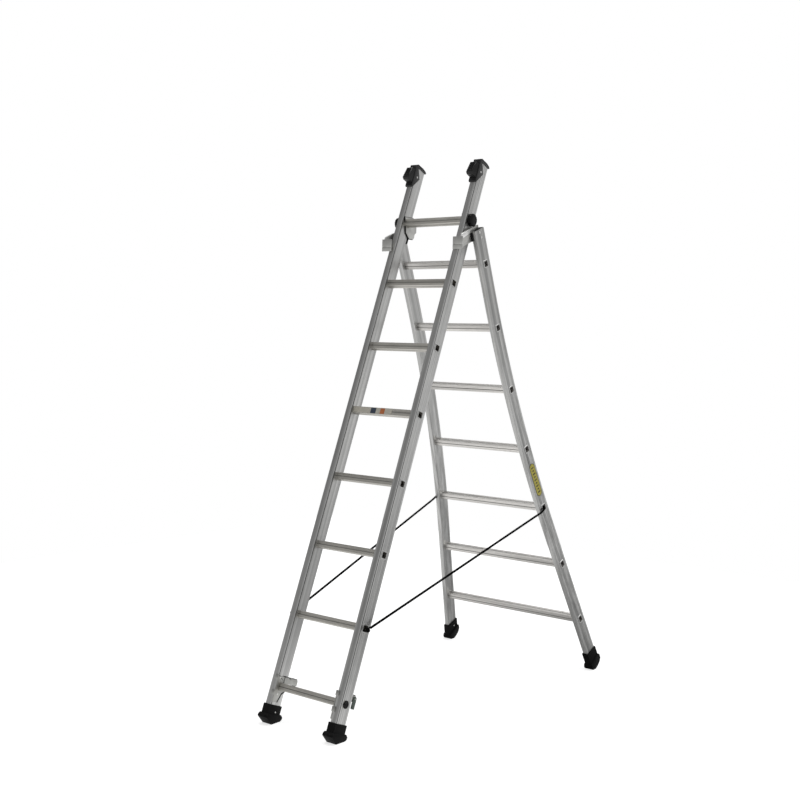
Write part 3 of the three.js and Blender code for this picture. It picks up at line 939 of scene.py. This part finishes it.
def make_fittings(side, sign):
    for node, piece, finish, body, slot, width in SOFTENED:
        soften(f"{node}_{side}", f"{piece}_{side}", finish, body, slot, width)
    latch = (f"hook_latch_{side}", f"latch_tongue_{side}", latch_plastic)
    soften(*latch, f"latch_{side}", "latch_plastic", 0.001)
    make_knob(side, sign)
    make_plug(side, sign)
    make_hook_dark_strips(side, sign)
    make_bracket_bar(side, sign)


# Each rivet's name, section, place in its axes, the way it faces and its size.
RIVETS = [
    ("cap_rivet", fly, (fly.half + COVER, 0.016, 2.323), 1, 1.0),
    ("cap_inner_rivet", fly, (fly.inner - COVER, 0.016, 2.323), -1, 1.0),
    ("front_shoe_rivet", fly, (fly.inner - COVER, 0.036, 0.055), -1, 0.8),
    ("rear_shoe_rivet", base, (base.inner - COVER, 0.040, 0.055), -1, 0.8),
    ("hook_rivet_0.184", fly, (fly.inner - HOOK_FACE, 0.011, 0.184), -1, 1.0),
    ("hook_rivet_0.123", fly, (fly.inner - HOOK_FACE, 0.018, 0.123), -1, 1.0),
    ("stile_rivet_2.058", base, (base.half, 0.030, 2.058), 1, 1.25),
    ("stile_rivet_2.036", base, (base.half, 0.036, 2.036), 1, 1.25),
]

for side, sign in SIDES.items():
    make_fittings(side, sign)
    for name, section, place, face, size in RIVETS:
        make_rivet(f"{name}_{side}", section, sign, place, face, size)

# ---- labels -------------------------------------------------------------------------------

FILM = {"thick": 0.0003, "steps": 24, "least_half": 0.0005}
STILE_LABEL = {"low": 0.861, "high": 1.016, "middle": 0.033, "half": 0.021, "rim": 0.003}
MARKS = {"count": 9, "half_height": 0.003, "half_widths": (0.010, 0.006)}
STICKER = {"rung": 4, "half_height": 0.0115}
# Along that sliding rung: where each block of the sticker starts and ends, and its finish.
RUNG_LABEL = [
    (-0.148, 0.046, pale_film), (-0.060, -0.034, slate_ink), (-0.012, 0.010, ochre_ink),
]


def stile_film(name, finish, z0, z1, half_width, lift):
    """A film on the right base stile's outer face that follows its bend, as wide as half_width(z) says."""
    steps, thick = FILM["steps"], FILM["thick"]
    place = mirrored(base, SIDES["right"])

    def build(shape):
        rings = []
        for i in range(steps + 1):
            z = z0 + (z1 - z0) * i / steps
            w = half_width(z)
            corners = [(lift, -w), (lift, w), (lift + thick, w), (lift + thick, -w)]
            rings.append([place(base.half + x, STILE_LABEL["middle"] + y, z) for x, y in corners])
        loft(shape, rings)

    settle(piece_from(name, build, finish), base.body, "")


def rounded_ends(low, high, half):
    """The half width of a long shape with round ends, at a height between low and high."""

    def width(z):
        inside = min(z - low, high - z)
        over = max(half - inside, 0)
        return max(math.sqrt(max(half * half - over * over, 0)), FILM["least_half"])

    return width


def make_labels():
    """A plain yellow film with a row of dark marks, and a pale sticker with two blocks."""
    low, high, half, rim = (STILE_LABEL[key] for key in ("low", "high", "half", "rim"))
    stile_film("stile_label_rim", olive_ink, low, high, rounded_ends(low, high, half), 0)
    inner = rounded_ends(low + rim, high - rim, half - rim)
    stile_film("stile_label", yellow_film, low + rim, high - rim, inner, FILM["thick"])
    pitch = (high - low - 2 * half) / (MARKS["count"] - 1)
    for i in range(MARKS["count"]):
        z = low + half + i * pitch
        reach = MARKS["half_widths"][i % 2]
        ends = (z - MARKS["half_height"], z + MARKS["half_height"])
        stile_film(f"label_mark_{i + 1}", olive_ink, *ends, lambda _, r=reach: r, 2 * FILM["thick"])
    front = fly.depth / 2 - RUNG["size"] / 2
    height, half_height = fly.rung_height(STICKER["rung"]), STICKER["half_height"]
    for i, (x0, x1, finish) in enumerate(RUNG_LABEL):
        lift = FILM["thick"] * (1 + min(i, 1))  # the blocks lie on the strip
        corners = (x0, front - lift, height - half_height), (x1, front, height + half_height)
        piece = piece_from(f"rung_sticker_{i + 1}", lambda shape: block(shape, *corners, fly.level), finish)
        settle(piece, fly.body, "")


make_labels()

# ---- lights and floor ---------------------------------------------------------------------

ACROSS = Vector((1, 1, 0)).normalized()  # from the ladder's front left to its rear right
WORLD_AROUND = [(0.10, 0.62), (0.95, 0.92)]  # from the front left to the rear right
WORLD_UP = [(0.02, 1.0), (0.34, 0.42)]  # from the horizon upwards
KEY_LIGHT = {"towards": (0.10, 0.15, 1.0), "strength": 2.0, "spread": 60}
FLOOR = {"half": 3.5, "levels": (0.46, 0.48)}
FLOOR_GLOW = 0.72  # of the floor where the camera sees it, so that it meets the white behind
# A second glow, by place along the same direction: it lies at the front left only, and lights the base
# section from below.
UNDER_GLOW = {"From Min": -0.4, "From Max": 0.6, "To Min": 0.60, "To Max": 0.0}


def make_floor():
    def build(shape):
        half = FLOOR["half"]
        corners = [(-half, -half), (half, -half), (half, half), (-half, half)]
        shape.faces.new([shape.verts.new((x, y, 0)) for x, y in corners])

    finish = Finish("floor_paint", 0.9)
    haze = finish.noise(finish.coordinates((0.5, 0.5, 0.5)), detail=2)
    finish.colour(finish.ramp(haze, list(zip((0.3, 0.7), FLOOR["levels"]))))
    finish.shader.inputs["Emission Color"].default_value = (1, 1, 1, 1)
    along = finish.node("ShaderNodeVectorMath", operation="DOT_PRODUCT")
    along.inputs[1].default_value = ACROSS
    finish.link(finish.coordinates((1, 1, 1)), along.inputs[0])
    from_front = finish.node("ShaderNodeMapRange")
    for name, value in UNDER_GLOW.items():
        from_front.inputs[name].default_value = value
    finish.link(along.outputs["Value"], from_front.inputs["Value"])
    rays = finish.node("ShaderNodeLightPath")
    seen = finish.math("MULTIPLY", rays.outputs["Is Camera Ray"], FLOOR_GLOW)
    glow = finish.math("MAXIMUM", seen, from_front.outputs["Result"])
    finish.link(glow, finish.shader.inputs["Emission Strength"])
    piece_from("floor", build, finish.material)


def make_world():
    """A studio: white where the camera looks past the ladder, brightest low down at the rear right."""
    world = bpy.data.worlds.new("studio")
    world.use_nodes = True
    bpy.context.scene.world = world
    tree = world.node_tree
    background = tree.nodes["Background"]
    source = tree.nodes.new("ShaderNodeTexCoord")
    levels = []
    for towards, start, stops in ((ACROSS, -1, WORLD_AROUND), (Vector((0, 0, 1)), 0, WORLD_UP)):
        along = tree.nodes.new("ShaderNodeVectorMath")
        along.operation = "DOT_PRODUCT"
        along.inputs[1].default_value = towards
        shift = tree.nodes.new("ShaderNodeMapRange")
        shift.inputs["From Min"].default_value = start
        ramp = tree.nodes.new("ShaderNodeValToRGB")
        for element, (position, level) in zip(ramp.color_ramp.elements, stops):
            element.position = position
            element.color = (level, level, level, 1)
        tree.links.new(source.outputs["Generated"], along.inputs[0])
        tree.links.new(along.outputs["Value"], shift.inputs["Value"])
        tree.links.new(shift.outputs["Result"], ramp.inputs["Fac"])
        levels.append(ramp.outputs["Color"])
    both = tree.nodes.new("ShaderNodeMix")
    both.data_type = "RGBA"
    both.blend_type = "MULTIPLY"
    both.inputs[0].default_value = 1
    tree.links.new(levels[0], both.inputs[MIX["a"]])
    tree.links.new(levels[1], both.inputs[MIX["b"]])
    rays = tree.nodes.new("ShaderNodeLightPath")
    seen = tree.nodes.new("ShaderNodeMix")
    seen.data_type = "RGBA"
    seen.inputs[MIX["b"]].default_value = (1, 1, 1, 1)
    tree.links.new(rays.outputs["Is Camera Ray"], seen.inputs[0])
    tree.links.new(both.outputs[MIX["result"]], seen.inputs[MIX["a"]])
    tree.links.new(seen.outputs[MIX["result"]], background.inputs["Color"])


def make_key_light():
    data = bpy.data.lights.new("key", "SUN")
    data.energy = KEY_LIGHT["strength"]
    data.angle = math.radians(KEY_LIGHT["spread"])
    sun = bpy.data.objects.new("key", data)
    sun.matrix_world = Vector(KEY_LIGHT["towards"]).to_track_quat("Z", "Y").to_matrix().to_4x4()
    bpy.context.collection.objects.link(sun)


make_floor()
make_world()
make_key_light()
bpy.context.scene.view_settings.view_transform = "Standard"
